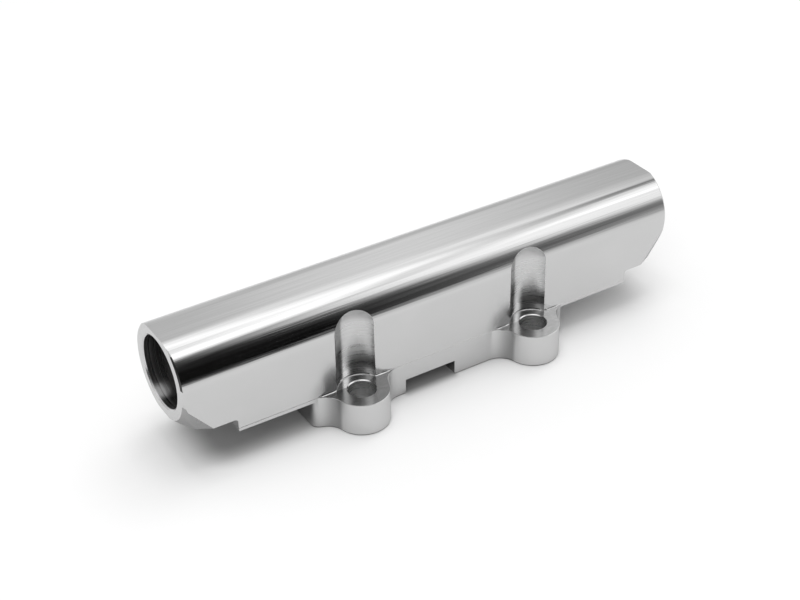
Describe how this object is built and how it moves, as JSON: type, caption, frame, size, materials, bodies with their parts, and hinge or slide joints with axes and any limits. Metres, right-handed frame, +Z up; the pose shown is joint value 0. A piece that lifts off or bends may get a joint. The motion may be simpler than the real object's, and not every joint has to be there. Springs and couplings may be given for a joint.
{
  "type": "fuel rail",
  "caption": "Short one-piece aluminium fuel rail: round barrel with end ports, injector cups below and bolt lugs on the front.",
  "frame": {"origin": "midway between the two bolt holes, on the underside of the foot that meets the manifold", "axes": "+X along the fuel bore, -Y to the side with the bolt lugs, +Z up from the mounting face"},
  "size_m": [0.148, 0.0351, 0.0353],
  "materials": {
    "rail_body": "bright machined, uncoated"
  },
  "bodies": {
    "root": {"rail_body": "rail_body"}
  },
  "joints": []
}
